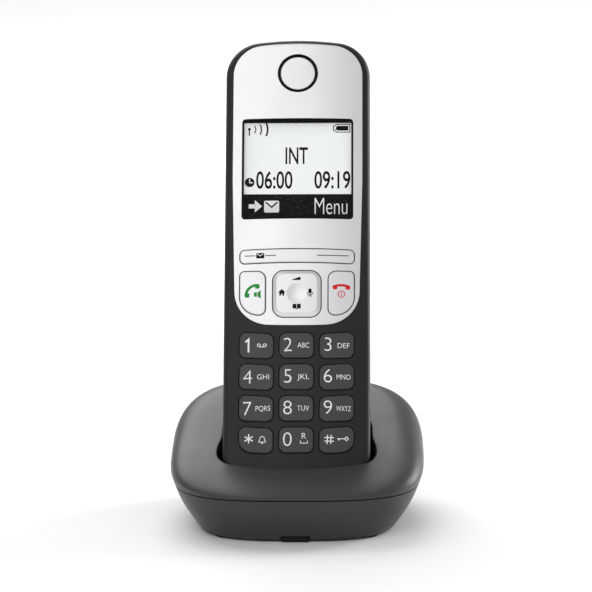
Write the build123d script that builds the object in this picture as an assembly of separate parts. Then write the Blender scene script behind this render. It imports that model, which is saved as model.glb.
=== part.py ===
"""Cordless desk telephone: a handset standing in its charging base.

Millimetres, +Z up. X runs across the telephone, -Y is its front, and the origin is on the table,
under the centre of the whole telephone's box. The handset is modelled upright in a frame of its own:
X across, Y from its face (0) to its back, Z along its length from its lower end. docked() then
leans it back and stands it in the base's pocket.
"""

import os
from math import cos, radians, sin, sqrt

from build123d import *

# ---------------------------------------------------------------- driving dimensions: handset
HANDSET_LENGTH = 155.0
HALF_WIDTH = 24.55  # of the casing, at its widest
FACE_RADIUS = 150.0  # the face is a slice of a cylinder that runs along the handset
TOP_ARCH, TOP_CORNER = 2.2, 12.0  # drop of the arched upper end at the sides, and its corner radius
BOTTOM_ARCH, BOTTOM_CORNER = 1.2, 9.0
BACK_DEPTHS = ((0, 20.6), (30, 22.6), (64, 25.6), (112, 22.4), (155, 18.6))  # (Z, depth) down the back
FRONT_EDGE, BACK_EDGE = 2.3, 7.0  # roundings of the casing
WALL, FACE_WALL = 1.8, 2.4
PARTING_Y = 9.5  # depth of the joint between front and rear covers
LEAN = 26.0  # degrees that the docked handset leans back

PLATE_THICK = 1.1
PLATE_HALF = 21.95  # silver faceplate, half its width
PLATE_BOTTOM, PLATE_WAIST, PLATE_TOP = 53.4, 105.0, 153.3  # heights of its ends and of its widest

RING_Z, RING_OUTER, RING_INNER = 142.6, 6.9, 5.85  # sound slot round the earpiece disc, radii
WINDOW = (37.8, 35.8, 108.55)  # display window: width, height, centre Z
LENS_SUNK, LENS_THICK = 0.1, 1.0
LCD_Y = 2.4

KEY_ROWS = (46.3, 35.47, 24.63, 13.8)
KEY_PITCH = 13.4
KEY_SIZE = (11.35, 8.6)
KEY_PROUD, KEY_GAP, KEY_FOOT_Y = 0.55, 0.32, 4.3
KEY_NAMES = (
    ("key_1", "key_2", "key_3"),
    ("key_4", "key_5", "key_6"),
    ("key_7", "key_8", "key_9"),
    ("key_star", "key_0", "key_hash"),
)
NAV_Z, NAV_SIZE, NAV_FACE, NAV_GAP = 64.25, 16.0, 13.6, 0.35
CALL_X, CALL_Z = (10.6, 19.15), (57.1, 72.2)
SOFT_Z, SOFT_WIDTH, SOFT_HEIGHT = 77.65, 38.3, 4.6

MAT_Y, MAT_THICK = 4.85, 1.1
BOARD_Y, BOARD_THICK = 6.4, 1.2
CELL_RADIUS, CELL_LENGTH, CELL_X, CELL_Y, CELL_Z = 5.25, 44.5, 5.6, 16.3, 42.0
HATCH, HATCH_SKIN = (34.0, 38.0, 98.0), 1.5  # battery cover: width, lowest and highest Z
RINGER_Z = 122.5
MOUTHPIECE_Z = 3.6  # low enough that the base hides it while the handset is docked

# ---------------------------------------------------------------- driving dimensions: base
BASE_HALF_X, BASE_HALF_Y = 42.4, 41.4
FLOOR_Z, WIDEST_Z = 0.8, 21.2
TUCK_X, TUCK_Y, TUCK_POWER = 9.3, 4.4, 1.85  # how far the walls draw in towards the floor
PLAN_POWER = 3.15  # squareness of the base seen from above
SEAM_Z, SEAM_GAP = 14.6, 0.36
TOP_SLOPE = 0.357  # of the flat round the pocket
FRONT_SHOULDER = (14.9, 15.9, -26.8)  # top of the wall, height it heads for, Y where the flat starts
BACK_SHOULDER = (28.0, 39.3, 24.5)
SIDE_TURN, SIDE_FLAT = 4.0, 12.5  # how far in from the side walls the turn and the flat lie
SHOULDER_REACH = 10.0
BASE_WALL = 2.0
LIP = (-24.0, 22.3)  # Y and Z of the pocket's front lip
BELOW_LIP, BEHIND_LIP = 4.5, 0.65  # how far the handset reaches below the lip, and stands behind it
POCKET_HALF, POCKET_NECK, POCKET_DEPTH = 26.4, 24.95, 24.4  # half widths in front and behind
POCKET_FRONT_GAP, POCKET_WALL = 0.6, 1.6
STAND_OFF = 0.3  # gap between the handset and the pocket's floor

CONTACT_X, CONTACT_Y = 8.0, 13.0  # charging contacts under the handset
PIN_RADIUS, PIN_COLLAR, PIN_CLEARANCE = 1.2, 1.9, 0.32
FOOT_RADIUS, FOOT_X, FOOT_Y, FOOT_INSET = 4.0, 22.8, 27.3, 0.5
SCREW_X, SCREW_Y, SCREW_SPLIT = 29.6, 14.0, 8.0  # centres, and where upper and lower posts meet
JACK_Z, JACK_WALL, JACK_DEPTH = 3.1, 1.1, 12.5
JACKS = {"line_jack": (-13.0, 9.9, 6.9), "power_jack": (13.0, 7.9, 6.9)}  # centre X, width, height
PAGING_HALF, PAGING_LOW, PAGING_HIGH, PAGING_GAP = 4.5, 0.2, 1.75, 0.32  # key under the front edge
PAGING_FRONT, PAGING_BACK = -37.6, -31.9
RIM_ROUNDING = 0.5  # of the pocket's mouth

ORIGIN_SHIFT = -7.89  # moves the base back so that the origin is under the middle of the whole box


# ---------------------------------------------------------------- helpers
def superellipse(half_x, half_y, power, start, end, count):
    """Points of a superellipse from angle start to end, in degrees."""
    points = []
    for i in range(count + 1):
        t = radians(start + (end - start) * i / count)
        c, s = cos(t), sin(t)
        x = half_x * abs(c) ** (2 / power) * (1 if c >= 0 else -1)
        y = half_y * abs(s) ** (2 / power) * (1 if s >= 0 else -1)
        points.append((x, y))
    return points


def through(sketch, y0, y1):
    """A sketch of the handset's front view as a prism from depth y0 to depth y1."""
    return extrude(Plane((0, y1, 0), x_dir=(1, 0, 0), z_dir=(0, -1, 0)) * sketch, amount=y1 - y0)


def block(x0, x1, y0, y1, z0, z1):
    return Pos((x0 + x1) / 2, (y0 + y1) / 2, (z0 + z1) / 2) * Box(x1 - x0, y1 - y0, z1 - z0)


def face_slice(depth):
    """Everything behind the handset's curved face, from the given depth below it."""
    return Pos(0, FACE_RADIUS, HANDSET_LENGTH / 2) * Cylinder(FACE_RADIUS - depth, HANDSET_LENGTH + 40)


def rod(x, y0, y1, z, radius):
    """A round pin along the handset's depth."""
    return through(Pos(x, z) * Circle(radius), y0, y1)


def docked(shape):
    """Takes a shape from the handset's frame to where it stands in the base."""
    rise = Pos(0, LIP[0], LIP[1]) * Rot(X=-LEAN) * Pos(0, BEHIND_LIP, -BELOW_LIP)
    return Pos(0, ORIGIN_SHIFT, 0) * rise * shape


def placed(shape):
    """Takes a shape from the base's own frame to the telephone's."""
    return Pos(0, ORIGIN_SHIFT, 0) * shape


# ---------------------------------------------------------------- handset casing
def casing_outline(inset):
    """Front view of the casing: slightly arched ends between straight sides."""
    half, low, high = HALF_WIDTH - inset, inset, HANDSET_LENGTH - inset
    left_high, right_high = (-half, high - TOP_ARCH), (half, high - TOP_ARCH)
    left_low, right_low = (-half, low + BOTTOM_ARCH), (half, low + BOTTOM_ARCH)
    edges = [
        ThreePointArc(left_high, (0, high), right_high),
        Line(right_high, right_low),
        ThreePointArc(right_low, (0, low), left_low),
        Line(left_low, left_high),
    ]
    shape = make_face(Wire(edges))
    shape = fillet(shape.vertices().sort_by(Axis.Y)[:2], BOTTOM_CORNER - inset)
    return fillet(shape.vertices().sort_by(Axis.Y)[-2:], TOP_CORNER - inset)


def back_side(inset):
    """Everything in front of the handset's back, as a solid."""
    back = [(depth - inset, z) for z, depth in BACK_DEPTHS]
    below, above = -20, HANDSET_LENGTH + 20
    first, last = (back[0][0], below), (back[-1][0], above)
    edges = [
        Polyline((-20, above), (-20, below), first, back[0]),
        Spline(*back),
        Polyline(back[-1], last, (-20, above)),
    ]
    profile = make_face(Wire([edge for part in edges for edge in part.edges()]))
    return extrude(Plane.YZ.offset(-40) * profile, amount=80)


def casing(inset, face_inset):
    """The casing's outer form, drawn in by inset, and by face_inset at the face."""
    form = through(casing_outline(inset), -10, 40) & face_slice(face_inset) & back_side(inset)
    front = form.faces().filter_by(GeomType.CYLINDER).sort_by(Axis.Y)[0]
    form = fillet(front.edges(), max(FRONT_EDGE - inset, 0.8))
    back = form.faces().sort_by(Axis.Y)[-1]
    return fillet(back.edges(), max(BACK_EDGE - inset, 1.0))


def plate_outline(grow=0.0):
    """Front view of the silver faceplate: it follows the casing above and ends in a U below."""
    half, low, high = PLATE_HALF + grow, PLATE_BOTTOM - grow, PLATE_TOP + grow
    left_high, right_high = (-half, high - 1.9), (half, high - 1.9)
    left_low, right_low = (-half + 1.2, low + 1.0), (half - 1.2, low + 1.0)
    left_mid, right_mid = (-half, PLATE_WAIST), (half, PLATE_WAIST)
    edges = [
        ThreePointArc(left_high, (0, high), right_high),
        Line(right_high, right_mid),
        Line(right_mid, right_low),
        ThreePointArc(right_low, (0, low), left_low),
        Line(left_low, left_mid),
        Line(left_mid, left_high),
    ]
    shape = make_face(Wire(edges))
    shape = fillet(shape.vertices().sort_by(Axis.Y)[:2], 12.0 + grow)
    return fillet(shape.vertices().sort_by(Axis.Y)[-2:], 10.5 + grow)


# ---------------------------------------------------------------- key outlines, in the front view
def rounded(corners, radii):
    """A polygon with its own rounding at each corner."""
    shape = make_face(Polyline(*corners, close=True))
    for corner, radius in zip(corners, radii):
        vertex = shape.vertices().sort_by_distance((*corner, 0))[0]
        shape = fillet(vertex, radius)
    return shape


def number_key(column, row):
    """Outline of a number key: the outer columns fan upwards, and the lowest pair follow the casing."""
    width, height = KEY_SIZE
    side = column - 1
    x, z = side * KEY_PITCH, KEY_ROWS[row]
    half, rise, lift = width / 2, height / 2, 0.45 * abs(side)
    outer, inner = (1, -1) if side >= 0 else (-1, 1)
    corners = [
        (x + outer * half, z + rise + lift + 0.1 * abs(side)),
        (x + inner * half, z + rise - lift),
        (x + inner * half, z - rise - lift + 0.15 * abs(side)),
        (x + outer * half, z - rise + lift),
    ]
    low_outer = 4.6 if row == 3 and side else 2.3
    return rounded(corners, (2.3, 2.3, 2.3, low_outer))


def call_key(side):
    """Outline of the talk (side -1) or end (side 1) key: upright, with its outer foot cut round."""
    inner, outer = side * CALL_X[0], side * CALL_X[1]
    low, high = CALL_Z
    corners = [(inner, low), (inner, high), (outer, high), (outer, low)]
    return rounded(corners, (2.0, 2.8, 1.5, 6.4))


def soft_bar():
    """Outline of the rocking bar under the display, slightly arched."""
    half, height, drop = SOFT_WIDTH / 2, SOFT_HEIGHT / 2, 0.3
    edges = [
        ThreePointArc((-half, height - drop), (0, height), (half, height - drop)),
        Line((half, height - drop), (half, -height - drop)),
        ThreePointArc((half, -height - drop), (0, -height), (-half, -height - drop)),
        Line((-half, -height - drop), (-half, height - drop)),
    ]
    bar = make_face(Wire(edges))
    return Pos(0, SOFT_Z) * fillet(bar.vertices(), 1.6)


def nav_square(size, corner):
    return Pos(0, NAV_Z) * RectangleRounded(size, size, corner)


def window_outline(grow=0.0):
    width, height, z = WINDOW
    return Pos(0, z) * RectangleRounded(width + 2 * grow, height + 2 * grow, 1.3 + max(grow, -0.8))


# ---------------------------------------------------------------- keys
def key_solid(outline, proud, edge, flange_y=None, gap=0.1):
    """A key cap with its top edge rounded and a flange that keeps it behind the cover."""
    cap = through(outline, -5, KEY_FOOT_Y) & face_slice(-proud)
    top = cap.faces().sort_by(Axis.Y)[0]
    cap = fillet(top.edges(), edge)
    flange = through(offset(outline, 0.75), 0, KEY_FOOT_Y) & face_slice(FACE_WALL + gap)
    return cap + flange


def nav_key():
    """Four-way key: a raised square face with sloped sides, a thumb dimple and a socket for its post."""
    outline = nav_square(NAV_SIZE, 3.6)
    cap = through(outline, -5, KEY_FOOT_Y) & face_slice(-0.85)
    top = cap.faces().sort_by(Axis.Y)[0]
    slope = (NAV_SIZE - NAV_FACE) / 2
    cap = chamfer(top.edges(), 0.75, slope)
    top = cap.faces().sort_by(Axis.Y)[0]
    cap = fillet(top.edges(), 0.25)
    dimple = Pos(0, -18.85 - 0.67, NAV_Z) * Sphere(19.0)
    flange = through(offset(outline, 0.8), 0, KEY_FOOT_Y) & face_slice(FACE_WALL + 0.6)
    socket = rod(0, 2.0, KEY_FOOT_Y + 1, NAV_Z, 2.0)
    return cap - dimple + flange - socket


def all_keys():
    keys = {}
    for row, names in enumerate(KEY_NAMES):
        for column, name in enumerate(names):
            keys[name] = key_solid(number_key(column, row), KEY_PROUD, 0.35)
    keys["talk_key"] = key_solid(call_key(-1), 0.35, 0.3)
    keys["end_key"] = key_solid(call_key(1), 0.35, 0.3)
    keys["softkey_bar"] = key_solid(soft_bar(), 0.35, 0.3, gap=0.65)
    keys["nav_key"] = nav_key()
    keys["nav_pivot_post"] = rod(0, 2.3, MAT_Y - 0.2, NAV_Z, 1.5)
    return keys


def key_openings():
    """The holes that the keys stand in, as one prism."""
    holes = [offset(number_key(c, r), KEY_GAP) for r in range(4) for c in range(3)]
    holes += [offset(call_key(side), KEY_GAP) for side in (-1, 1)]
    holes += [offset(soft_bar(), KEY_GAP), nav_square(NAV_SIZE + 2 * NAV_GAP, 3.6 + NAV_GAP)]
    return [through(hole, -5, 6) for hole in holes]


# ---------------------------------------------------------------- handset parts
def front_cover(outer, inner, openings):
    """Dark front shell: a recess takes the faceplate, and the keys come through it."""
    shell = (outer - inner) & block(-30, 30, -10, PARTING_Y, -10, 170)
    recess = through(plate_outline(0.1), -10, 10) - face_slice(PLATE_THICK + 0.02)
    shell = shell - recess
    shell -= through(window_outline(0.45), -10, 8)
    shell -= rod(0, -10, 8, RING_Z, RING_OUTER + 0.2)
    for hole in openings:
        shell -= hole
    return shell - rod(0, -5, 6, MOUTHPIECE_Z, 0.55)


def faceplate(outer, openings):
    plate = (through(plate_outline(), -10, 10) & outer) - face_slice(PLATE_THICK)
    plate -= through(window_outline(), -10, 8)
    plate -= rod(0, -10, 8, RING_Z, RING_OUTER)
    for hole in openings:
        plate -= hole
    return plate


def hatch_outline(grow):
    width, low, high = HATCH
    shape = RectangleRounded(width + 2 * grow, high - low + 2 * grow, 4.0 + grow)
    return Pos(0, (low + high) / 2) * shape


def rear_cover(outer, inner):
    """Dark rear shell with the battery bay, the ringer's slots and seats for the contacts."""
    skin_inner = casing(HATCH_SKIN + 0.1, HATCH_SKIN + 0.1)
    ledge_inner = casing(HATCH_SKIN + 1.4, HATCH_SKIN + 1.4)
    low, high = HATCH[1], HATCH[2]
    bay_half, bay_low, bay_high = 12.0, low + 0.6, high - 9.8
    shell = (outer - inner) & block(-30, 30, PARTING_Y + 0.12, 60, -10, 170)
    shell += (through(hatch_outline(1.4), 14, 40) & outer) - ledge_inner
    tub = block(-bay_half - 1.2, bay_half + 1.2, PARTING_Y + 0.5, 40, bay_low - 2.0, bay_high + 1.2)
    shell += tub & skin_inner
    shell -= through(hatch_outline(0.3), 14, 40) - skin_inner
    shell -= block(-bay_half, bay_half, PARTING_Y + 1.5, 40, bay_low, bay_high)
    shell -= through(hatch_outline(-2.2), 14, 40) - tub
    ring = rod(0, 13.0, 40, RINGER_Z, 9.4) - rod(0, 0, 50, RINGER_Z, 8.2)
    shell += ring & outer
    for i in range(4):
        slot = Pos(0, RINGER_Z - 4.5 + 3.0 * i) * SlotOverall(12.0, 1.3)
        shell -= through(slot, 15, 40)
    for side in (-1, 1):
        x = side * CONTACT_X
        shell -= block(x - 2.1, x + 2.1, CONTACT_Y - 1.6, CONTACT_Y + 1.6, -5, 4)
    return shell


def battery_cover(outer):
    """Cover over the cells, with a thumb notch at its upper end."""
    skin = outer - casing(HATCH_SKIN, HATCH_SKIN)
    cover = through(hatch_outline(0), 14, 40) & skin
    notch = Pos(0, 31.6, HATCH[2] - 5.0) * Sphere(8.2)
    return cover - notch


def battery_cell(side):
    body = Pos(side * CELL_X, CELL_Y, CELL_Z + CELL_LENGTH / 2)
    can = body * Cylinder(CELL_RADIUS, CELL_LENGTH - 1.2)
    can = fillet(can.edges().filter_by(GeomType.CIRCLE), 0.6)
    nub = body * Pos(0, 0, side * (CELL_LENGTH / 2 - 0.6)) * Cylinder(1.9, 1.2)
    return can + nub


def cell_contacts():
    """Spring plates at both ends of the cells."""
    plates = []
    low, high = CELL_Z - 0.75, CELL_Z + CELL_LENGTH + 0.05
    for z in (low, high):
        for side in (-1, 1):
            x = side * CELL_X
            plates.append(block(x - 3.8, x + 3.8, CELL_Y - 4.2, CELL_Y + 3.2, z, z + 0.6))
    return Compound(plates)


def handset_charge_contacts():
    """Two plates in the handset's lower end."""
    plates = []
    for side in (-1, 1):
        x = side * CONTACT_X
        plates.append(block(x - 2.0, x + 2.0, CONTACT_Y - 1.5, CONTACT_Y + 1.5, 0.25, 2.8))
    return Compound(plates)


def earpiece_grille():
    """Black carrier behind the faceplate: its floor shows in the sound slot, and a boss holds the disc."""
    floor = rod(0, 1.35, 2.2, RING_Z, RING_OUTER + 0.1)
    for i in range(12):
        angle = radians(30 * i)
        radius = (RING_OUTER + RING_INNER) / 2
        floor -= rod(radius * sin(angle), 0, 5, RING_Z + radius * cos(angle), 0.32)
    return floor


def earpiece_disc():
    disc = rod(0, -5, 1.3, RING_Z, RING_INNER) & face_slice(0.05)
    top = disc.faces().sort_by(Axis.Y)[0]
    return fillet(top.edges(), 0.3)


def speaker(radius, depth, y, z):
    """Small round loudspeaker: a basket with a stepped magnet behind."""
    basket = rod(0, y, y + depth * 0.55, z, radius)
    magnet = rod(0, y + depth * 0.55, y + depth, z, radius * 0.62)
    cone = Pos(0, y - radius * 1.35, z) * Sphere(radius * 1.5)
    return basket + magnet - cone


def display_parts():
    """Window, gasket, LCD and light guide, from front to back."""
    width, height, z = WINDOW
    lens = through(window_outline(-0.08), -5, 5) & face_slice(LENS_SUNK)
    lens -= face_slice(LENS_SUNK + LENS_THICK)
    gasket = through(window_outline(0.3), LCD_Y, LCD_Y + 0.5)
    gasket -= through(Pos(0, z) * Rectangle(width - 1.4, height - 1.8), 0, 5)
    area = window_outline(0.25)
    panel = through(area, LCD_Y + 0.55, LCD_Y + 1.9)
    light = through(area, LCD_Y + 1.95, BOARD_Y - 0.1)
    light -= through(Pos(0, z) * Rectangle(width - 6, height - 6), LCD_Y + 3.0, BOARD_Y + 1)
    return lens, gasket, panel, light


def keypad_mat():
    """Rubber mat with a low pad under each key and a groove round its edge."""
    middle = Pos(0, 45.5)
    mat = through(middle * RectangleRounded(41.0, 72.0, 6.0), MAT_Y, MAT_Y + MAT_THICK)
    mat -= through(middle * RectangleRounded(39.0, 70.0, 5.0), MAT_Y - 1, MAT_Y + 0.3)
    outlines = [offset(number_key(column, row), -1.0) for row in range(4) for column in range(3)]
    outlines += [offset(call_key(side), -1.0) for side in (-1, 1)]
    outlines += [offset(soft_bar(), -0.8), Pos(0, NAV_Z) * Circle(6.5)]
    for outline in outlines:
        mat += through(outline, MAT_Y, MAT_Y + 0.5)
    return mat


def main_board():
    """Circuit board with its chips, shield and the aerial on the upper edge."""
    board = through(Pos(0, 71.5) * RectangleRounded(40.0, 124.0, 4.0), BOARD_Y, BOARD_Y + BOARD_THICK)
    back = BOARD_Y + BOARD_THICK
    board += block(-14, 6, back - 0.1, back + 1.7, 100, 116)
    board += block(8, 18, back - 0.1, back + 1.3, 100, 112)
    board += block(-17, -8, back - 0.1, back + 1.2, 20, 29)
    board += block(4, 16, back - 0.1, back + 1.4, 14, 26)
    return board


# ---------------------------------------------------------------- base
def ring_section(half_x, front, back, power):
    """A closed superellipse through a front point and a back point, each (y, z)."""
    (y0, z0), (y1, z1) = front, back
    length = sqrt((y1 - y0) ** 2 + (z1 - z0) ** 2)
    plane = Plane(
        ((0, (y0 + y1) / 2, (z0 + z1) / 2)),
        x_dir=(1, 0, 0),
        z_dir=(0, -(z1 - z0) / length, (y1 - y0) / length),
    )
    points = superellipse(half_x, length / 2, power, 0, 360, 32)[:-1]
    return plane * make_face(Spline(*points, periodic=True))


def bezier(controls, t):
    """The point at t of the cubic Bezier curve with these four control points."""
    weights = ((1 - t) ** 3, 3 * t * (1 - t) ** 2, 3 * t * t * (1 - t), t**3)
    return tuple(sum(w * c[i] for w, c in zip(weights, controls)) for i in range(len(controls[0])))


def bowl_section(z, inset=0.0):
    """Level section of the bowl, whose walls draw in towards the floor."""
    share = (1 - (z - FLOOR_Z - inset) / (WIDEST_Z - FLOOR_Z - inset)) ** TUCK_POWER
    half_x = BASE_HALF_X - inset - TUCK_X * share
    half_y = BASE_HALF_Y - inset - TUCK_Y * share
    return ring_section(half_x, (-half_y, z), (half_y, z), PLAN_POWER)


def base_form():
    """The base's outer form: a bowl below, and full shoulders up to a sloped flat."""
    sections = [bowl_section(z) for z in (FLOOR_Z, 3.4, 6.8, 10.6, SEAM_Z)]

    def on_flat(y):
        return y, LIP[1] + TOP_SLOPE * (y - LIP[0])

    wall, turn, flat = FRONT_SHOULDER
    front = ((-BASE_HALF_Y, wall), (-BASE_HALF_Y, turn), on_flat(flat - SHOULDER_REACH), on_flat(flat))
    wall, turn, flat = BACK_SHOULDER
    back = ((BASE_HALF_Y, wall), (BASE_HALF_Y, turn), on_flat(flat + SHOULDER_REACH), on_flat(flat))
    side = ((BASE_HALF_X,), (BASE_HALF_X,), (BASE_HALF_X - SIDE_TURN,), (BASE_HALF_X - SIDE_FLAT,))
    for t in (0.06, 0.16, 0.3, 0.45, 0.6, 0.75, 0.88, 1.0):
        sections.append(ring_section(bezier(side, t)[0], bezier(front, t), bezier(back, t), PLAN_POWER))
    return loft(sections)


def roof_cavity(outer, clearance=0.0):
    """Space under the upper shell: the outer form drawn in and lowered by the wall's thickness."""
    wall = BASE_WALL + clearance
    return Pos(0, 0, -wall) * scale(outer, by=(1 - wall / BASE_HALF_X, 1 - wall / BASE_HALF_Y, 1))


def bowl_cavity():
    return loft([bowl_section(z, BASE_WALL) for z in (FLOOR_Z + BASE_WALL, 6.0, 9.0, 12.0, SEAM_Z)])


def pocket_outline(grow=0.0):
    """Cross-section of the pocket, across the handset's length: fuller in front than behind."""
    half, neck = POCKET_HALF + grow, POCKET_NECK + grow
    front, back = -POCKET_FRONT_GAP - grow, POCKET_DEPTH + grow
    side = [(half, front + 2.9), (half, 8.0), (neck, 12.8), (neck, back)]
    other_side = [(-x, y) for x, y in reversed(side)]
    edges = [ThreePointArc(other_side[-1], (0, front), side[0]), *Polyline(*side, *other_side).edges()]
    shape = make_face(Wire(edges))
    levels = shape.vertices().group_by(Axis.Y)
    for level, radius in ((0, 5.0 + grow), (1, 10.0), (2, 10.0), (3, 8.0 + grow)):
        nearby = [shape.vertices().sort_by_distance(corner)[0] for corner in levels[level]]
        shape = fillet(nearby, radius)
    return shape


def undocked_frame(shape):
    """Takes a shape from the handset's frame to the base's own frame."""
    return Pos(0, -ORIGIN_SHIFT, 0) * docked(shape)


def pocket(grow, low, high):
    """The pocket's prism along the docked handset."""
    return undocked_frame(extrude(Pos(0, 0, low) * pocket_outline(grow), amount=high - low))


def post(side, radius, low, high):
    """A round post along the handset's length, in line with one charging contact."""
    return Pos(side * CONTACT_X, CONTACT_Y, (low + high) / 2) * Cylinder(radius, high - low)


def upright(x, y, z0, z1, radius):
    return Pos(x, y, (z0 + z1) / 2) * Cylinder(radius, z1 - z0)


def slab(z0, z1):
    return block(-60, 60, -60, 60, z0, z1)


def corners(x, y):
    return [(sx * x, sy * y) for sx in (-1, 1) for sy in (-1, 1)]


def base_top_cover(outer):
    """Upper shell, open where the handset goes in, with its screw posts."""
    form = outer - pocket(0, -STAND_OFF, 60)
    flat = next(face for face in form.faces() if face.inner_wires())
    form = fillet(flat.inner_wires()[0].edges(), RIM_ROUNDING)
    cavity = roof_cavity(outer)
    shell = (form & slab(SEAM_Z + SEAM_GAP / 2, 60)) - cavity
    for x, y in corners(SCREW_X, SCREW_Y):
        shell += (upright(x, y, SCREW_SPLIT + 0.1, 40, 3.0) & cavity) - pocket(POCKET_WALL + 0.1, -8, 60)
        shell -= upright(x, y, 0, 21, 1.1)
    return shell


def pocket_liner(outer):
    """The pocket's walls and floor, hung under the upper shell, with holes for the charging pins."""
    liner = pocket(POCKET_WALL, -STAND_OFF - POCKET_WALL, 45) & roof_cavity(outer, 0.05)
    liner -= pocket(0, -STAND_OFF, 60)
    for side in (-1, 1):
        liner -= undocked_frame(post(side, PIN_RADIUS + PIN_CLEARANCE, -8, 2))
    return liner


def base_bottom_cover(outer):
    """Lower shell with a tongue along the seam, screw posts, jack mouths and the paging key's gap."""
    seam_face = bowl_section(SEAM_Z, BASE_WALL + 0.1) - bowl_section(SEAM_Z, BASE_WALL + 1.1)
    shell = (outer & slab(-5, SEAM_Z - SEAM_GAP / 2)) - bowl_cavity()
    shell += extrude(seam_face, amount=-4.0)
    shell += extrude(seam_face, amount=1.2) & roof_cavity(outer, 0.1)
    for x, y in corners(SCREW_X, SCREW_Y):
        shell += upright(x, y, 2.0, SCREW_SPLIT, 3.2)
        shell -= upright(x, y, 0, SCREW_SPLIT + 1, 1.25) + upright(x, y, 0, 4.0, 2.6)
    for x, y in corners(FOOT_X, FOOT_Y):
        shell -= upright(x, y, 0, FLOOR_Z + FOOT_INSET, FOOT_RADIUS + 0.05)
    for x, width, height in JACKS.values():
        half = width / 2 + JACK_WALL + 0.1
        low, high = JACK_Z - JACK_WALL - 0.1, JACK_Z + height + JACK_WALL + 0.1
        shell -= block(x - half, x + half, BASE_HALF_Y - 18, BASE_HALF_Y + 5, low, high)
    half, back = PAGING_HALF + PAGING_GAP, PAGING_BACK + 0.9
    shell -= block(-half, half, -BASE_HALF_Y, back, -1, PAGING_HIGH + PAGING_GAP)
    return shell - block(-2.4, 2.4, back - 2.5, back, -1, 5)


def jack(outer, x, width, height):
    """Modular socket, open towards the back."""
    front = BASE_HALF_Y - 3.0 - JACK_DEPTH
    half, wall = width / 2, JACK_WALL
    box = block(x - half - wall, x + half + wall, front - 2, 60, JACK_Z - wall, JACK_Z + height + wall)
    return (box & outer) - block(x - half, x + half, front, 60, JACK_Z, JACK_Z + height)


def base_board():
    """Circuit board behind the pocket, with its transformer, capacitor and chips."""
    board = block(-24.5, 24.5, 0.6, 22.6, 4.6, 5.8)
    parts = block(-22, -8, 6, 18, 5.7, 12.5) + upright(4, 15, 5.7, 14.0, 3.6)
    parts += block(10, 20, 7, 15, 5.7, 8.0) + block(-4, 0, 6, 12, 5.7, 7.4)
    legs = [upright(x, y, 2.85, 4.7, 2.0) for x, y in ((-21, 4), (21, 4), (-21, 19), (21, 19))]
    for leg in legs:
        board += leg
    return board + parts


def charge_pin(side):
    """Sprung plunger with a domed tip and a collar that keeps it under the pocket's floor."""
    shaft = post(side, PIN_RADIUS, -7.0, 0.15)
    shaft = fillet(shaft.edges().sort_by(Axis.Z)[-1], 0.8)
    return shaft + post(side, PIN_COLLAR, -3.0, -2.3)


def charge_pin_holder():
    low, high = -7.6, -STAND_OFF - POCKET_WALL - 0.05
    holder = block(-12, 12, CONTACT_Y - 3.4, CONTACT_Y + 3.4, low, high)
    for side in (-1, 1):
        holder -= post(side, PIN_RADIUS + PIN_CLEARANCE, low - 1, high + 1)
        holder -= post(side, PIN_COLLAR + PIN_CLEARANCE, -5.4, high + 1)
    return holder


def paging_key():
    """Thin key under the front edge, with a neck through the floor to the flange that holds it."""
    key = block(-PAGING_HALF, PAGING_HALF, PAGING_FRONT, PAGING_BACK, PAGING_LOW, PAGING_HIGH)
    key = fillet(key.edges().filter_by(Axis.Z).sort_by(Axis.Y)[:2], 0.8)
    neck = block(-2.0, 2.0, PAGING_BACK - 1.1, PAGING_BACK, PAGING_LOW, 4.6)
    flange = block(-4.5, 4.5, PAGING_BACK - 1.1, PAGING_BACK + 2.3, 3.2, 4.6)
    return key + neck + flange


def paging_switch():
    """Small push switch behind the paging key's flange."""
    body = block(-3, 3, -28.0, -25.0, 2.85, 6.2)
    return body + Pos(0, -28.3, 4.0) * Rot(X=90) * Cylinder(1.1, 1.0)


def base_screws():
    """Four cross-headed screws, up through the lower posts into the upper ones."""
    screws = []
    for x, y in corners(SCREW_X, SCREW_Y):
        head = upright(x, y, 2.4, 3.95, 2.3)
        for width, depth in ((3.2, 0.6), (0.6, 3.2)):
            head -= Pos(x, y, 2.4) * Box(width, depth, 1.2)
        screws.append(head + upright(x, y, 3.9, 20.0, 0.95))
    return Compound(screws)


def base_feet():
    pads = []
    for x, y in corners(FOOT_X, FOOT_Y):
        pad = upright(x, y, 0, FLOOR_Z + FOOT_INSET - 0.05, FOOT_RADIUS)
        pads.append(fillet(pad.edges().sort_by(Axis.Z)[0], 0.3))
    return Compound(pads)


# ---------------------------------------------------------------- build
def handset_parts():
    outer, inner = casing(0, 0), casing(WALL, FACE_WALL)
    openings = key_openings()
    lens, gasket, panel, light = display_parts()
    parts = all_keys()
    parts.update(
        handset_front_cover=front_cover(outer, inner, openings),
        silver_faceplate=faceplate(outer, openings),
        handset_rear_cover=rear_cover(outer, inner),
        battery_cover=battery_cover(outer),
        battery_cell_left=battery_cell(-1),
        battery_cell_right=battery_cell(1),
        cell_contacts=cell_contacts(),
        earpiece_disc=earpiece_disc(),
        earpiece_grille=earpiece_grille(),
        ear_speaker=speaker(6.5, 3.4, 2.6, RING_Z),
        ringer_speaker=speaker(8.0, 3.6, 13.0, RINGER_Z),
        display_window=lens,
        display_gasket=gasket,
        lcd_panel=panel,
        lcd_light_guide=light,
        keypad_mat=keypad_mat(),
        dome_sheet=through(Pos(0, 45.5) * RectangleRounded(40.0, 71.0, 5.0), 6.05, 6.3),
        main_board=main_board(),
        microphone=rod(0, 3.2, 5.6, MOUTHPIECE_Z, 1.6),
        handset_charge_contacts=handset_charge_contacts(),
        charge_pin_left=charge_pin(-1),
        charge_pin_right=charge_pin(1),
        charge_pin_holder=charge_pin_holder(),
    )
    return parts


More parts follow.
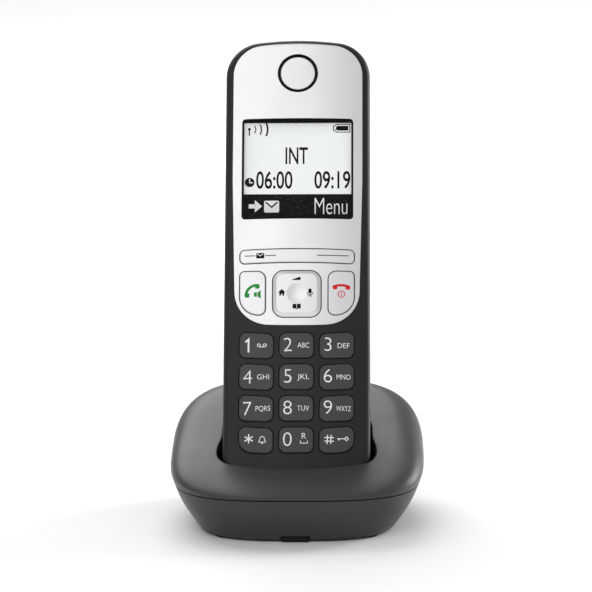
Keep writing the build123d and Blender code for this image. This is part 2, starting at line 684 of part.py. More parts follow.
def base_parts():
    outer = base_form()
    parts = {name: jack(outer, *sizes) for name, sizes in JACKS.items()}
    parts.update(
        base_top_cover=base_top_cover(outer),
        base_bottom_cover=base_bottom_cover(outer),
        pocket_liner=pocket_liner(outer),
        base_feet=base_feet(),
        base_screws=base_screws(),
        base_board=base_board(),
        paging_key=paging_key(),
        paging_switch=paging_switch(),
    )
    return parts


def main():
    os.makedirs("parts", exist_ok=True)
    parts = {name: docked(shape) for name, shape in handset_parts().items()}
    parts.update({name: placed(shape) for name, shape in base_parts().items()})
    for name, shape in parts.items():
        export_step(shape, f"parts/{name}.step")


main()
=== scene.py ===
"""Looks of the cordless telephone in its charging base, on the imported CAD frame.

Legends are drawn in the handset's front view, in millimetres: x across, z up its length from its
lower end. face_mesh() lays them on the curved face and docks them with the handset. Everything
else is in metres, in the row frame.
"""

from math import asin, cos, pi, radians, sin, sqrt

import bmesh
import bpy
from mathutils import Matrix, Vector


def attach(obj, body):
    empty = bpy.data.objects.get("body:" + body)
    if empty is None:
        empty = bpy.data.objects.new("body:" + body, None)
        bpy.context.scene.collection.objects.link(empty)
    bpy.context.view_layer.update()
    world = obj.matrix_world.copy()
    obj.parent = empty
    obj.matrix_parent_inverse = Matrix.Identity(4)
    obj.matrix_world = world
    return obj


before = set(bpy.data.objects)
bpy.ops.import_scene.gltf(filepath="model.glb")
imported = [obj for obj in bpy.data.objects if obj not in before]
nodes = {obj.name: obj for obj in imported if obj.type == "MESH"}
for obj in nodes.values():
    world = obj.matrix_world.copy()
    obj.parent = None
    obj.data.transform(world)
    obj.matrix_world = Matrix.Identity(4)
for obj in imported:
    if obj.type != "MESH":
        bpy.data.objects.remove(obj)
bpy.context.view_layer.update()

# ---------------------------------------------------------------- sizes shared with the CAD, in mm
FACE_RADIUS = 150.0
LEAN = 26.0
FACE_FOOT = (-31.89, 22.3)  # Y and Z of the pocket's lip in the row frame
BEHIND_LIP, BELOW_LIP = 0.65, 4.5
KEY_PROUD, CALL_PROUD, NAV_PROUD, LENS_SUNK = 0.55, 0.35, 0.85, 0.1
LCD_Y = 2.95
INK = 0.02  # how far printing stands off its surface
KEY_PITCH, KEY_ROWS = 13.4, (46.3, 35.47, 24.63, 13.8)
NAV_Z, SOFT_Z = 64.25, 77.65
LCD_LIFT = 5.3  # raises the picture as drawn, so that it looks level with the window over it

DOCK = (
    Matrix.Scale(0.001, 4)
    @ Matrix.Translation((0, *FACE_FOOT))
    @ Matrix.Rotation(radians(-LEAN), 4, "X")
    @ Matrix.Translation((0, BEHIND_LIP, -BELOW_LIP))
)


# ---------------------------------------------------------------- flat shapes: lists of polygons
def box(x0, x1, z0, z1):
    return [[(x0, z0), (x1, z0), (x1, z1), (x0, z1)]]


def disc(x, z, radius, count=32):
    turn = [2 * pi * i / count for i in range(count)]
    return [[(x + radius * cos(a), z + radius * sin(a)) for a in turn]]


def arc(x, z, radius, start, end, count=24):
    """Points along an arc, for stroke()."""
    turn = [radians(start + (end - start) * i / count) for i in range(count + 1)]
    return [(x + radius * cos(a), z + radius * sin(a)) for a in turn]


def stroke(points, width, closed=False):
    """A line of constant width as a strip of quads with mitred corners."""
    count = len(points)
    left, right = [], []
    for i, (x, z) in enumerate(points):
        before = points[i - 1] if i or closed else points[i]
        after = points[(i + 1) % count] if i < count - 1 or closed else points[i]
        first = Vector((x - before[0], z - before[1]))
        second = Vector((after[0] - x, after[1] - z))
        first = first.normalized() if first.length else second.normalized()
        second = second.normalized() if second.length else first
        along = (first + second).normalized()
        reach = width / 2 / max(along.dot(first), 0.4)
        left.append((x - along.y * reach, z + along.x * reach))
        right.append((x + along.y * reach, z - along.x * reach))
    last = count if closed else count - 1
    quads = []
    for i in range(last):
        j = (i + 1) % count
        quads.append([right[i], right[j], left[j], left[i]])
    return quads


def ring(x, z, radius, width):
    return stroke(arc(x, z, radius, 0, 360)[:-1], width, closed=True)


def moved(polygons, x, z, turn=0.0):
    """Polygons turned about their origin and then moved."""
    c, s = cos(radians(turn)), sin(radians(turn))
    return [[(x + c * u - s * v, z + s * u + c * v) for u, v in polygon] for polygon in polygons]


def rounded_box(x0, x1, z0, z1, radius):
    points = arc(x1 - radius, z1 - radius, radius, 0, 90, 6)
    points += arc(x0 + radius, z1 - radius, radius, 90, 180, 6)
    points += arc(x0 + radius, z0 + radius, radius, 180, 270, 6)
    points += arc(x1 - radius, z0 + radius, radius, 270, 360, 6)
    return points


# ---------------------------------------------------------------- meshes on the handset
def polygon_mesh(polygons):
    mesh = bmesh.new()
    for polygon in polygons:
        mesh.faces.new([mesh.verts.new((x, 0, z)) for x, z in polygon])
    bmesh.ops.triangulate(mesh, faces=mesh.faces)
    return mesh


def lettering(text, weight=0.0):
    """Text as a flat mesh in the font's own units, its strokes made heavier or lighter by weight."""
    curve = bpy.data.curves.new("lettering", "FONT")
    curve.body = text
    curve.offset = weight
    holder = bpy.data.objects.new("lettering", curve)
    bpy.context.scene.collection.objects.link(holder)
    bpy.context.view_layer.update()
    outline = bpy.data.meshes.new_from_object(holder)
    mesh = bmesh.new()
    mesh.from_mesh(outline)
    bpy.data.objects.remove(holder)
    bpy.data.curves.remove(curve)
    bpy.data.meshes.remove(outline)
    return mesh


CAP_HEIGHT = max(v.co.y for v in lettering("H").verts)


def text_mesh(text, x, z, height, width=None, weight=0.0):
    """Lettering centred on x, its feet at z, its capitals as high as stated, squeezed to any width given."""
    mesh = lettering(text, weight)
    across = [v.co.x for v in mesh.verts]
    tall = height / CAP_HEIGHT
    wide = width / (max(across) - min(across)) if width else tall
    middle = (max(across) + min(across)) / 2
    for v in mesh.verts:
        v.co = (x + (v.co.x - middle) * wide, 0, z + v.co.y * tall)
    return mesh


def face_mesh(name, mesh, body, material, proud=0.0, flat_y=None):
    """Lays a front-view mesh on the handset's curved face, or on a flat plane at flat_y."""
    across = [v.co.x for v in mesh.verts]
    if flat_y is None:
        step = int(min(across)) - 1
        while step < max(across):
            geometry = mesh.verts[:] + mesh.edges[:] + mesh.faces[:]
            bmesh.ops.bisect_plane(mesh, geom=geometry, plane_co=(step, 0, 0), plane_no=(1, 0, 0))
            step += 1
    for v in mesh.verts:
        depth = FACE_RADIUS - sqrt((FACE_RADIUS + proud) ** 2 - v.co.x**2)
        v.co.y = depth - INK if flat_y is None else flat_y - INK
    bmesh.ops.recalc_face_normals(mesh, faces=mesh.faces)
    for face in mesh.faces:
        face.normal_update()
        if face.normal.y > 0:
            face.normal_flip()
    mesh.transform(DOCK)
    data = bpy.data.meshes.new(name)
    mesh.to_mesh(data)
    mesh.free()
    piece = bpy.data.objects.new(name, data)
    bpy.context.scene.collection.objects.link(piece)
    data.materials.append(material)
    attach(piece, body)
    return piece


def printed(name, polygons, body, material, proud=0.0, flat_y=None):
    return face_mesh(name, polygon_mesh(polygons), body, material, proud, flat_y)


# ---------------------------------------------------------------- materials
def new_material(name):
    material = bpy.data.materials.new(name)
    material.use_nodes = True
    tree = material.node_tree
    return material, tree, tree.nodes["Principled BSDF"]


def grain(tree, scale, detail=3.0):
    """A noise in object space, scale in features per metre."""
    place = tree.nodes.new("ShaderNodeTexCoord")
    noise = tree.nodes.new("ShaderNodeTexNoise")
    noise.inputs["Scale"].default_value = scale
    noise.inputs["Detail"].default_value = detail
    tree.links.new(place.outputs["Object"], noise.inputs["Vector"])
    return noise


def spread(tree, source, low, high):
    """The noise's middle range, mapped to run from low to high."""
    remap = tree.nodes.new("ShaderNodeMapRange")
    remap.inputs["From Min"].default_value = 0.3
    remap.inputs["From Max"].default_value = 0.7
    remap.inputs["To Min"].default_value = low
    remap.inputs["To Max"].default_value = high
    tree.links.new(source.outputs["Fac"], remap.inputs["Value"])
    return remap


def moulded(name, colour, rough, grain_scale=2600.0, relief=0.12, mottle=0.05, metallic=0.0, gloss=0.3):
    """Moulded or lacquered surface: a fine grain, slight mottling, and roughness that varies a little."""
    material, tree, shader = new_material(name)
    fine = grain(tree, grain_scale)
    broad = grain(tree, 90.0, 2.0)
    blend = tree.nodes.new("ShaderNodeMix")
    blend.data_type = "RGBA"
    blend.inputs["A"].default_value = (*[c * (1 - mottle) for c in colour], 1)
    blend.inputs["B"].default_value = (*[min(c * (1 + mottle), 1) for c in colour], 1)
    tree.links.new(fine.outputs["Fac"], blend.inputs["Factor"])
    tree.links.new(blend.outputs["Result"], shader.inputs["Base Color"])
    uneven = spread(tree, broad, rough - 0.03, rough + 0.03)
    tree.links.new(uneven.outputs["Result"], shader.inputs["Roughness"])
    bump = tree.nodes.new("ShaderNodeBump")
    bump.inputs["Strength"].default_value = relief
    bump.inputs["Distance"].default_value = 0.0001
    tree.links.new(fine.outputs["Fac"], bump.inputs["Height"])
    tree.links.new(bump.outputs["Normal"], shader.inputs["Normal"])
    shader.inputs["Metallic"].default_value = metallic
    shader.inputs["Specular IOR Level"].default_value = gloss
    return material


def silver_with_painted_recess_shade(name, rough):
    """Silver lacquer with painted shade: more than 0.30 mm below the curved face, in holes and down key
    sides, the colour fades to near-black.
    """
    material = moulded(name, (0.80, 0.80, 0.81), rough, 5200.0, 0.05, 0.03, metallic=0.6, gloss=0.5)
    tree = material.node_tree
    shader = tree.nodes["Principled BSDF"]
    lean = radians(LEAN)
    inwards = Vector((0, cos(lean), -sin(lean)))
    foot = DOCK @ Vector((0, 0, 0))
    place = tree.nodes.new("ShaderNodeTexCoord")
    along = tree.nodes.new("ShaderNodeVectorMath")
    along.operation = "DOT_PRODUCT"
    along.inputs[1].default_value = inwards
    tree.links.new(place.outputs["Object"], along.inputs[0])
    split = tree.nodes.new("ShaderNodeSeparateXYZ")
    tree.links.new(place.outputs["Object"], split.inputs["Vector"])
    square = tree.nodes.new("ShaderNodeMath")
    square.operation = "MULTIPLY"
    tree.links.new(split.outputs["X"], square.inputs[0])
    tree.links.new(split.outputs["X"], square.inputs[1])
    bulge = tree.nodes.new("ShaderNodeMath")
    bulge.operation = "MULTIPLY_ADD"
    bulge.inputs[1].default_value = -1 / (2 * FACE_RADIUS * 0.001)
    tree.links.new(square.outputs["Value"], bulge.inputs[0])
    tree.links.new(along.outputs["Value"], bulge.inputs[2])
    # Painted shade: depth below the curved face, mapped so the colour goes near-black from 0.30 to 0.36 mm
    # down
    recess_shade_mask = tree.nodes.new("ShaderNodeMapRange")
    surface = inwards.dot(foot)
    recess_shade_mask.inputs["From Min"].default_value = surface + 0.00030
    recess_shade_mask.inputs["From Max"].default_value = surface + 0.00036
    tree.links.new(bulge.outputs["Value"], recess_shade_mask.inputs["Value"])
    paint = shader.inputs["Base Color"].links[0].from_socket
    # The near-black mixed in here is painted shade in the gaps and holes
    blend = tree.nodes.new("ShaderNodeMix")
    blend.data_type = "RGBA"
    blend.inputs["B"].default_value = (0.01, 0.01, 0.01, 1)
    tree.links.new(recess_shade_mask.outputs["Result"], blend.inputs["Factor"])
    tree.links.new(paint, blend.inputs["A"])
    tree.links.new(blend.outputs["Result"], shader.inputs["Base Color"])
    return material


def clear_window():
    """Thin clear plastic: nearly invisible, with a sharp gloss."""
    material, tree, shader = new_material("window_clear")
    shader.inputs["Base Color"].default_value = (0.2, 0.21, 0.21, 1)
    shader.inputs["Alpha"].default_value = 0.01
    smear = grain(tree, 60.0, 2.0)
    tree.links.new(spread(tree, smear, 0.04, 0.08).outputs["Result"], shader.inputs["Roughness"])
    return material


def lit_display():
    """Pale reflective LCD, faintly lit from behind, with its fine grid of dots."""
    material, tree, shader = new_material("lcd_glass")
    dots = grain(tree, 4200.0, 1.0)
    blend = tree.nodes.new("ShaderNodeMix")
    blend.data_type = "RGBA"
    blend.inputs["A"].default_value = (0.80, 0.84, 0.81, 1)
    blend.inputs["B"].default_value = (0.88, 0.91, 0.89, 1)
    tree.links.new(dots.outputs["Fac"], blend.inputs["Factor"])
    tree.links.new(blend.outputs["Result"], shader.inputs["Base Color"])
    tree.links.new(blend.outputs["Result"], shader.inputs["Emission Color"])
    shader.inputs["Emission Strength"].default_value = 0.25
    tree.links.new(spread(tree, dots, 0.4, 0.5).outputs["Result"], shader.inputs["Roughness"])
    return material


def circuit_board():
    """Green solder mask with paler tracks."""
    material, tree, shader = new_material("board_green")
    place = tree.nodes.new("ShaderNodeTexCoord")
    tracks = tree.nodes.new("ShaderNodeTexVoronoi")
    tracks.feature = "DISTANCE_TO_EDGE"
    tracks.inputs["Scale"].default_value = 260.0
    tree.links.new(place.outputs["Object"], tracks.inputs["Vector"])
    ramp = tree.nodes.new("ShaderNodeValToRGB")
    ramp.color_ramp.elements[0].color = (0.06, 0.26, 0.10, 1)
    ramp.color_ramp.elements[1].color = (0.01, 0.09, 0.03, 1)
    ramp.color_ramp.elements[1].position = 0.12
    tree.links.new(tracks.outputs["Distance"], ramp.inputs["Fac"])
    tree.links.new(ramp.outputs["Color"], shader.inputs["Base Color"])
    shader.inputs["Roughness"].default_value = 0.35
    return material


CASE = moulded("case_dark", (0.018, 0.019, 0.019), 0.42, relief=0.10, gloss=0.22)
BASE_CASE = moulded("base_dark", (0.038, 0.039, 0.039), 0.40, grain_scale=2000.0, relief=0.14, gloss=0.4)
KEY_DARK = moulded("key_dark", (0.060, 0.062, 0.062), 0.40, relief=0.06, gloss=0.25)
SILVER = silver_with_painted_recess_shade("silver_lacquer", 0.34)
SILVER_KEY = silver_with_painted_recess_shade("silver_key", 0.36)
BLACK = moulded("black_plastic", (0.008, 0.008, 0.008), 0.45, gloss=0.2)
RUBBER = moulded("rubber_black", (0.015, 0.015, 0.015), 0.8, relief=0.2)
SILICONE = moulded("keypad_silicone", (0.30, 0.31, 0.32), 0.6)
DIFFUSER = moulded("white_diffuser", (0.85, 0.85, 0.83), 0.5)
FOIL = moulded("dome_foil", (0.62, 0.58, 0.50), 0.35)
GOLD = moulded("gold_plate", (0.83, 0.62, 0.28), 0.25, 6000.0, 0.04, 0.04, metallic=1.0)
STEEL = moulded("zinc_plate", (0.60, 0.60, 0.62), 0.35, 6000.0, 0.06, 0.05, metallic=1.0)
JACKET = moulded("cell_jacket", (0.05, 0.20, 0.42), 0.3)
INK_WHITE = moulded("ink_white", (0.96, 0.96, 0.95), 0.4, relief=0.03, mottle=0.02)
INK_BLACK = moulded("ink_black", (0.004, 0.004, 0.004), 0.5, relief=0.03, mottle=0.04, gloss=0.1)
INK_GREY = moulded("ink_grey", (0.11, 0.11, 0.11), 0.5, relief=0.03, mottle=0.04)
INK_GREEN = moulded("ink_green", (0.012, 0.30, 0.035), 0.45, relief=0.03, mottle=0.04)
INK_RED = moulded("ink_red", (0.75, 0.008, 0.012), 0.45, relief=0.03, mottle=0.04)
WINDOW = clear_window()
DISPLAY = lit_display()
BOARD = circuit_board()

NODE_MATERIALS = {
    "handset_front_cover": CASE,
    "handset_rear_cover": CASE,
    "battery_cover": CASE,
    "base_top_cover": BASE_CASE,
    "base_bottom_cover": BASE_CASE,
    # The pocket liner takes the handset's darker plastic as painted shade inside the slot
    "pocket_liner": CASE,
    "paging_key": BLACK,
    "silver_faceplate": SILVER,
    "earpiece_disc": SILVER_KEY,
    "softkey_bar": SILVER_KEY,
    "talk_key": SILVER_KEY,
    "end_key": SILVER_KEY,
    "nav_key": SILVER_KEY,
    "display_window": WINDOW,
    "lcd_panel": DISPLAY,
    "lcd_light_guide": DIFFUSER,
    "keypad_mat": SILICONE,
    "dome_sheet": FOIL,
    "main_board": BOARD,
    "base_board": BOARD,
    "base_feet": RUBBER,
    "base_screws": STEEL,
    "handset_charge_contacts": GOLD,
    "cell_contacts": STEEL,
    "charge_pin_left": GOLD,
    "charge_pin_right": GOLD,
    "battery_cell_left": JACKET,
    "battery_cell_right": JACKET,
}


def node_material(name):
    if name.startswith("key_"):
        return KEY_DARK
    return NODE_MATERIALS.get(name, BLACK)


for node_name, node in nodes.items():
    node.data.materials.clear()
    node.data.materials.append(node_material(node_name))


# ---------------------------------------------------------------- number keys' legends
KEY_LEGENDS = {
    "key_1": ("1", "", 0, -1),
    "key_2": ("2", "ABC", 0, 0),
    "key_3": ("3", "DEF", 0, 1),
    "key_4": ("4", "GHI", 1, -1),
    "key_5": ("5", "JKL", 1, 0),
    "key_6": ("6", "MNO", 1, 1),
    "key_7": ("7", "PQRS", 2, -1),
    "key_8": ("8", "TUV", 2, 0),
    "key_9": ("9", "WXYZ", 2, 1),
    "key_0": ("0", "R", 3, 0),
}


DIGIT_WEIGHT, LETTER_WEIGHT = -0.014, -0.004
LETTER_WIDTH = {"MNO": 4.6, "PQRS": 4.9, "WXYZ": 4.9}  # of a key's group of letters, else USUAL_WIDTH
USUAL_WIDTH = 4.0


def key_centre(row, side):
    return side * KEY_PITCH, KEY_ROWS[row]


def number_legends():
    for body, (digit, letters, row, side) in KEY_LEGENDS.items():
        x, z = key_centre(row, side)
        foot = z - 2.15 + (0.15 if side > 0 else -0.15 * abs(side))
        if digit == "1":
            one = stroke([(x - 3.75, foot + 3.55), (x - 2.65, foot + 4.5), (x - 2.65, foot)], 0.58)
            printed(f"legend_{body}_digit", one, body, INK_WHITE, KEY_PROUD)
        else:
            mesh = text_mesh(digit, x - 2.9, foot, 4.7, weight=DIGIT_WEIGHT)
            face_mesh(f"legend_{body}_digit", mesh, body, INK_WHITE, KEY_PROUD)
        if body == "key_0":
            mesh = text_mesh(letters, x + 2.6, z + 0.35, 1.95, weight=LETTER_WEIGHT)
        elif letters:
            width = LETTER_WIDTH.get(letters, USUAL_WIDTH)
            mesh = text_mesh(letters, x + 2.3, z - 0.88, 1.72, width, LETTER_WEIGHT)
        else:
            continue
        face_mesh(f"legend_{body}_letters", mesh, body, INK_WHITE, KEY_PROUD)


def tape_icon(x, z):
    """Two reels on a line, for the answering machine."""
    reels = ring(x - 1.0, z, 0.5, 0.26) + ring(x + 1.0, z, 0.5, 0.26)
    return reels + stroke([(x - 1.0, z - 0.55), (x + 1.0, z - 0.55)], 0.26)


def bell_icon(x, z):
    dome = [(x - 1.1, z - 0.75)] + arc(x, z + 0.35, 0.8, 180, 0, 12) + [(x + 1.1, z - 0.75)]
    return stroke(dome, 0.24, closed=True) + disc(x, z - 1.05, 0.3, 16) + disc(x, z + 1.25, 0.16, 12)


def lock_icon(x, z):
    """A small key lying on its side."""
    corners = [(x + 0.5, z), (x + 1.15, z + 0.65), (x + 1.8, z), (x + 1.15, z - 0.65)]
    bow = stroke(corners, 0.28, closed=True)
    shank = stroke([(x + 0.4, z), (x - 1.8, z)], 0.28)
    bit = [[(x - 1.9, z), (x - 0.9, z), (x - 1.4, z - 0.7)]]
    return bow + shank + bit


def star_shape(x, z, radius):
    strokes = []
    for turn in (90, 150, 210):
        dx, dz = radius * cos(radians(turn)), radius * sin(radians(turn))
        strokes += stroke([(x - dx, z - dz), (x + dx, z + dz)], 0.42)
    return strokes


def hash_shape(x, z):
    half, gap = 1.55, 0.6
    strokes = []
    for side in (-gap, gap):
        strokes += stroke([(x - half, z + side), (x + half, z + side)], 0.36)
        strokes += stroke([(x + side - 0.1, z - half), (x + side + 0.1, z + half)], 0.36)
    return strokes


def other_legends():
    x, z = key_centre(0, -1)
    printed("legend_key_1_reels", tape_icon(x + 1.8, z + 0.05), "key_1", INK_WHITE, KEY_PROUD)
    x, z = key_centre(3, 0)
    bracket = [(x + 1.45, z - 0.3), (x + 1.45, z - 1.15), (x + 3.75, z - 1.15), (x + 3.75, z - 0.3)]
    printed("legend_key_0_space", stroke(bracket, 0.24), "key_0", INK_WHITE, KEY_PROUD)
    x, z = key_centre(3, -1)
    printed("legend_key_star", star_shape(x - 2.35, z + 0.5, 1.55), "key_star", INK_WHITE, KEY_PROUD)
    printed("legend_key_star_bell", bell_icon(x + 2.15, z + 0.05), "key_star", INK_WHITE, KEY_PROUD)
    x, z = key_centre(3, 1)
    printed("legend_key_hash", hash_shape(x - 2.45, z + 0.2), "key_hash", INK_WHITE, KEY_PROUD)
    printed("legend_key_hash_lock", lock_icon(x + 2.15, z + 0.5), "key_hash", INK_WHITE, KEY_PROUD)
    x, z = key_centre(1, 0)
    printed("legend_key_5_pip", disc(x + 0.05, z + 0.15, 0.32, 20), "key_5", KEY_DARK, KEY_PROUD + 0.12)


# ---------------------------------------------------------------- function keys' legends
def receiver_icon(span, sag, width):
    """A telephone receiver seen from the side, ends down, centred on its middle."""
    half = span / 2
    radius = (half * half + sag * sag) / (2 * sag)
    reach = asin(half / radius) * 180 / pi
    back = arc(0, -radius, radius, 90 + reach, 90 - reach)
    shapes = stroke(back, width)
    for side in (-1, 1):
        ear = [(-0.75, 0.45), (0.75, 0.45), (0.75, -0.85), (0.35, -1.0), (-0.75, -1.0)]
        ear = [[(side * u, v) for u, v in ear]]
        shapes += moved(ear, side * (half - 0.25), -sag, side * -reach * 0.8)
    return shapes


def speaker_icon(x, z):
    cone = [[(x + 0.1, z - 0.65), (x + 1.2, z - 1.5), (x + 1.2, z + 1.5), (x + 0.1, z + 0.65)]]
    return box(x - 1.1, x - 0.1, z - 0.75, z + 0.75) + cone


def envelope(x, z, half, rise, fold):
    """Envelope body and the fold line across it, as two shapes."""
    body = [rounded_box(x - half, x + half, z - rise, z + rise, 0.25 * rise)]
    top, dip = z + rise * 0.75, z - rise * 0.1
    flap = stroke([(x - half * 0.8, top), (x, dip), (x + half * 0.8, top)], fold)
    return body, flap


def call_legends():
    talk = moved(receiver_icon(5.4, 1.2, 0.95), -15.9, 66.4, 42)
    printed("legend_talk_receiver", talk, "talk_key", INK_GREEN, CALL_PROUD)
    printed("legend_talk_speaker", speaker_icon(-13.3, 64.1), "talk_key", INK_GREEN, CALL_PROUD)
    end = moved(receiver_icon(5.0, 0.5, 0.85), 14.95, 67.3)
    printed("legend_end_receiver", end, "end_key", INK_RED, CALL_PROUD)
    power = ring(14.95, 64.2, 1.12, 0.3) + box(14.8, 15.1, 63.6, 64.8)
    printed("legend_end_power", power, "end_key", INK_RED, CALL_PROUD)


def soft_legends():
    z = SOFT_Z
    lines = stroke([(-17.6, z), (-14.1, z)], 0.34) + stroke([(-10.6, z), (-7.1, z)], 0.34)
    lines += stroke([(6.7, z), (17.4, z)], 0.34)
    printed("legend_soft_lines", lines, "softkey_bar", INK_GREY, CALL_PROUD)
    body, fold = envelope(-12.35, z, 1.35, 0.95, 0.26)
    printed("legend_soft_envelope", body, "softkey_bar", INK_BLACK, CALL_PROUD)
    printed("legend_soft_fold", fold, "softkey_bar", INK_WHITE, CALL_PROUD + 0.02)


def nav_legends():
    z = NAV_Z
    wedge = [[(-1.6, z + 4.55), (1.25, z + 4.55), (1.25, z + 5.75), (-1.6, z + 4.75)]]
    roof = [[(-6.3, z + 0.3), (-3.75, z + 0.3), (-5.02, z + 1.45)]]
    house = roof + box(-5.85, -5.25, z - 0.85, z + 0.35) + box(-4.8, -4.2, z - 0.85, z + 0.35)
    house += box(-5.85, -4.2, z - 0.2, z + 0.35)
    x = 4.45
    microphone = [rounded_box(x - 0.55, x + 0.55, z - 0.15, z + 1.6, 0.5)]
    microphone += stroke(arc(x, z + 0.35, 0.95, 180, 360, 16), 0.24)
    microphone += box(x - 0.14, x + 0.14, z - 1.05, z - 0.5) + box(x - 0.6, x + 0.6, z - 1.15, z - 0.9)
    pages = box(-1.35, -0.08, z - 5.35, z - 3.75) + box(0.08, 1.35, z - 5.35, z - 3.75)
    pages += [[(-0.35, z - 5.3), (0.35, z - 5.3), (0, z - 5.75)]]
    printed("legend_nav_icons", wedge + house + microphone + pages, "nav_key", INK_BLACK, NAV_PROUD)


# ---------------------------------------------------------------- display
def display_picture():
    """What the LCD shows: reception, battery, two clocks and a reversed menu line."""
    def show(name, polygons, material, above=0.0):
        polygons = moved(polygons, 0, LCD_LIFT)
        printed(f"lcd_{name}", polygons, "handset", material, flat_y=LCD_Y - above)

    def write(name, text, x, z, height, width, material, above=0.0, weight=0.0):
        mesh = text_mesh(text, x, z + LCD_LIFT, height, width, weight)
        face_mesh(f"lcd_{name}", mesh, "handset", material, flat_y=LCD_Y - above)

    mast = disc(-16.5, 118.1, 0.5, 20) + box(-16.72, -16.28, 115.8, 118.1)
    for radius, reach, width in ((2.2, 38, 0.35), (4.1, 27, 0.45), (6.2, 22, 0.6)):
        mast += stroke(arc(-16.5, 118.0, radius, -reach, reach, 12), width)
    show("aerial", mast, INK_BLACK)
    shell = [(13.1, 119.8), (17.7, 119.8), (17.7, 117.0), (13.1, 117.0), (12.8, 117.5), (12.1, 117.6)]
    shell += [(12.1, 119.2), (12.8, 119.3)]
    charge = [[(13.4, 119.25), (17.2, 119.25), (17.2, 117.55), (13.4, 117.55), (12.75, 118.4)]]
    show("battery", stroke(shell, 0.3, closed=True) + charge, INK_BLACK)
    write("base_name", "INT", -0.35, 105.7, 5.8, 7.6, INK_BLACK, weight=0.012)
    write("alarm", "06:00", -7.9, 97.0, 5.9, 12.3, INK_BLACK, weight=0.012)
    write("time", "09:19", 11.8, 97.0, 5.9, 12.2, INK_BLACK, weight=0.012)
    show("clock", disc(-16.25, 99.1, 1.65, 32), INK_BLACK)
    show("clock_hands", stroke([(-16.25, 100.3), (-16.25, 99.0), (-15.2, 99.0)], 0.34), DISPLAY, 0.02)
    show("menu_bar", box(-18.8, 18.8, 85.8, 94.9), INK_BLACK)
    arrow = box(-16.5, -14.2, 89.85, 91.35) + [[(-14.45, 88.4), (-12.0, 90.6), (-14.45, 92.8)]]
    show("arrow", arrow, INK_WHITE, 0.02)
    body, fold = envelope(-8.75, 90.5, 2.55, 2.1, 0.5)
    show("envelope", body, INK_WHITE, 0.02)
    show("envelope_fold", fold, INK_BLACK, 0.04)
    write("menu", "Menu", 11.35, 87.7, 5.9, 11.1, INK_WHITE, 0.02, weight=-0.01)


def window_border():
    """Black print round the window, heavier at the foot."""
    left, right, low, high = -18.82, 18.82, 90.75, 126.37
    inner_low, inner_high, side = 91.6, 125.75, 0.55
    outline = rounded_box(left, right, low, high, 1.2)
    inside = rounded_box(left + side, right - side, inner_low, inner_high, 0.7)
    count = len(outline)
    quads = [
        [outline[i], outline[(i + 1) % count], inside[(i + 1) % count], inside[i]] for i in range(count)
    ]
    printed("window_border", quads, "handset", INK_BLACK, -LENS_SUNK)


# ---------------------------------------------------------------- stage
def floor():
    """Pale paper with a painted glow that grows away from the telephone, so that it runs to white."""
    material, tree, shader = new_material("floor_paper")
    paper = grain(tree, 300.0, 2.0)
    shader.inputs["Base Color"].default_value = (0.95, 0.95, 0.95, 1)
    tree.links.new(spread(tree, paper, 0.65, 0.75).outputs["Result"], shader.inputs["Roughness"])
    place = tree.nodes.new("ShaderNodeTexCoord")
    reach = tree.nodes.new("ShaderNodeVectorMath")
    reach.operation = "LENGTH"
    tree.links.new(place.outputs["Object"], reach.inputs[0])
    # Painted light: emission rises from none within 0.25 m of the middle to 0.45 at 1 m and beyond
    glow = tree.nodes.new("ShaderNodeMapRange")
    glow.inputs["From Min"].default_value = 0.25
    glow.inputs["From Max"].default_value = 1.0
    glow.inputs["To Max"].default_value = 0.45
    tree.links.new(reach.outputs["Value"], glow.inputs["Value"])
    shader.inputs["Emission Color"].default_value = (1, 1, 1, 1)
    tree.links.new(glow.outputs["Result"], shader.inputs["Emission Strength"])
    mesh = bpy.data.meshes.new("floor")
    half = 8.0
    corners = [(-half, -half, 0), (half, -half, 0), (half, half, 0), (-half, half, 0)]
    mesh.from_pydata(corners, [], [(0, 1, 2, 3)])
    mesh.materials.append(material)
    plane = bpy.data.objects.new("floor", mesh)
    bpy.context.scene.collection.objects.link(plane)


def softbox(name, place, target, size, watts):
    lamp = bpy.data.lights.new(name, "AREA")
    lamp.shape = "RECTANGLE"
    lamp.size, lamp.size_y = size
    lamp.energy = watts
    holder = bpy.data.objects.new(name, lamp)
    bpy.context.scene.collection.objects.link(holder)
    holder.location = place
    holder.rotation_euler = (Vector(target) - Vector(place)).to_track_quat("-Z", "Y").to_euler()


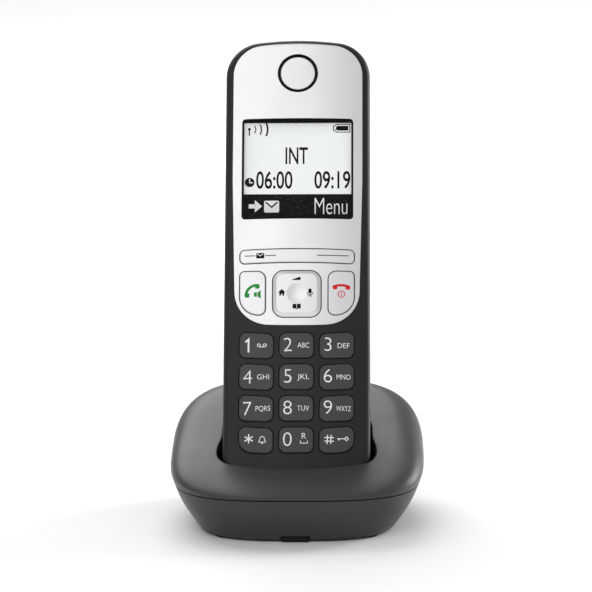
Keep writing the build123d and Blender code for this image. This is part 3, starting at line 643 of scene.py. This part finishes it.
def sky():
    """Soft surround, brighter on the left."""
    world = bpy.data.worlds.new("studio")
    world.use_nodes = True
    tree = world.node_tree
    place = tree.nodes.new("ShaderNodeTexCoord")
    split = tree.nodes.new("ShaderNodeSeparateXYZ")
    remap = tree.nodes.new("ShaderNodeMapRange")
    tree.links.new(place.outputs["Generated"], split.inputs["Vector"])
    tree.links.new(split.outputs["X"], remap.inputs["Value"])
    remap.inputs["From Min"].default_value = -0.8
    remap.inputs["From Max"].default_value = 0.8
    remap.inputs["To Min"].default_value = 0.54
    remap.inputs["To Max"].default_value = 0.50
    backdrop = tree.nodes["Background"]
    backdrop.inputs["Color"].default_value = (1, 1, 1, 1)
    tree.links.new(remap.outputs["Result"], backdrop.inputs["Strength"])
    bpy.context.scene.world = world


def lights():
    middle = (0, 0, 0.07)
    softbox("softbox_front", (-0.35, -0.85, 0.95), middle, (1.0, 0.9), 3)
    softbox("softbox_rim", (0.75, 0.45, 0.3), middle, (0.3, 0.6), 5)
    softbox("softbox_back", (-0.35, 0.85, 0.95), middle, (1.2, 0.8), 11)


def camera():
    """Level with the base, a little above it, and a touch to the right of the middle."""
    azimuth, elevation, roll = radians(1.5), radians(10.0), radians(0.4)
    distance, target = 1.2, Vector((-0.0002, -0.00789, 0.07545))
    back = Vector((sin(azimuth) * cos(elevation), -cos(azimuth) * cos(elevation), sin(elevation)))
    level = Vector((cos(azimuth), sin(azimuth), 0))
    rise = back.cross(level)
    right = level * cos(roll) - rise * sin(roll)
    up = rise * cos(roll) + level * sin(roll)
    turn = Matrix((right, up, back)).transposed().to_4x4()
    data = bpy.data.cameras.new("camera")
    data.sensor_width = 36.0
    data.lens = 36.0 * 2.99 * 1200 / 592
    eye = bpy.data.objects.new("camera", data)
    eye.matrix_world = Matrix.Translation(target + back * distance) @ turn
    bpy.context.scene.collection.objects.link(eye)
    bpy.context.scene.camera = eye


bpy.context.scene.view_settings.view_transform = "Standard"
number_legends()
other_legends()
call_legends()
soft_legends()
nav_legends()
display_picture()
window_border()
floor()
sky()
lights()
camera()
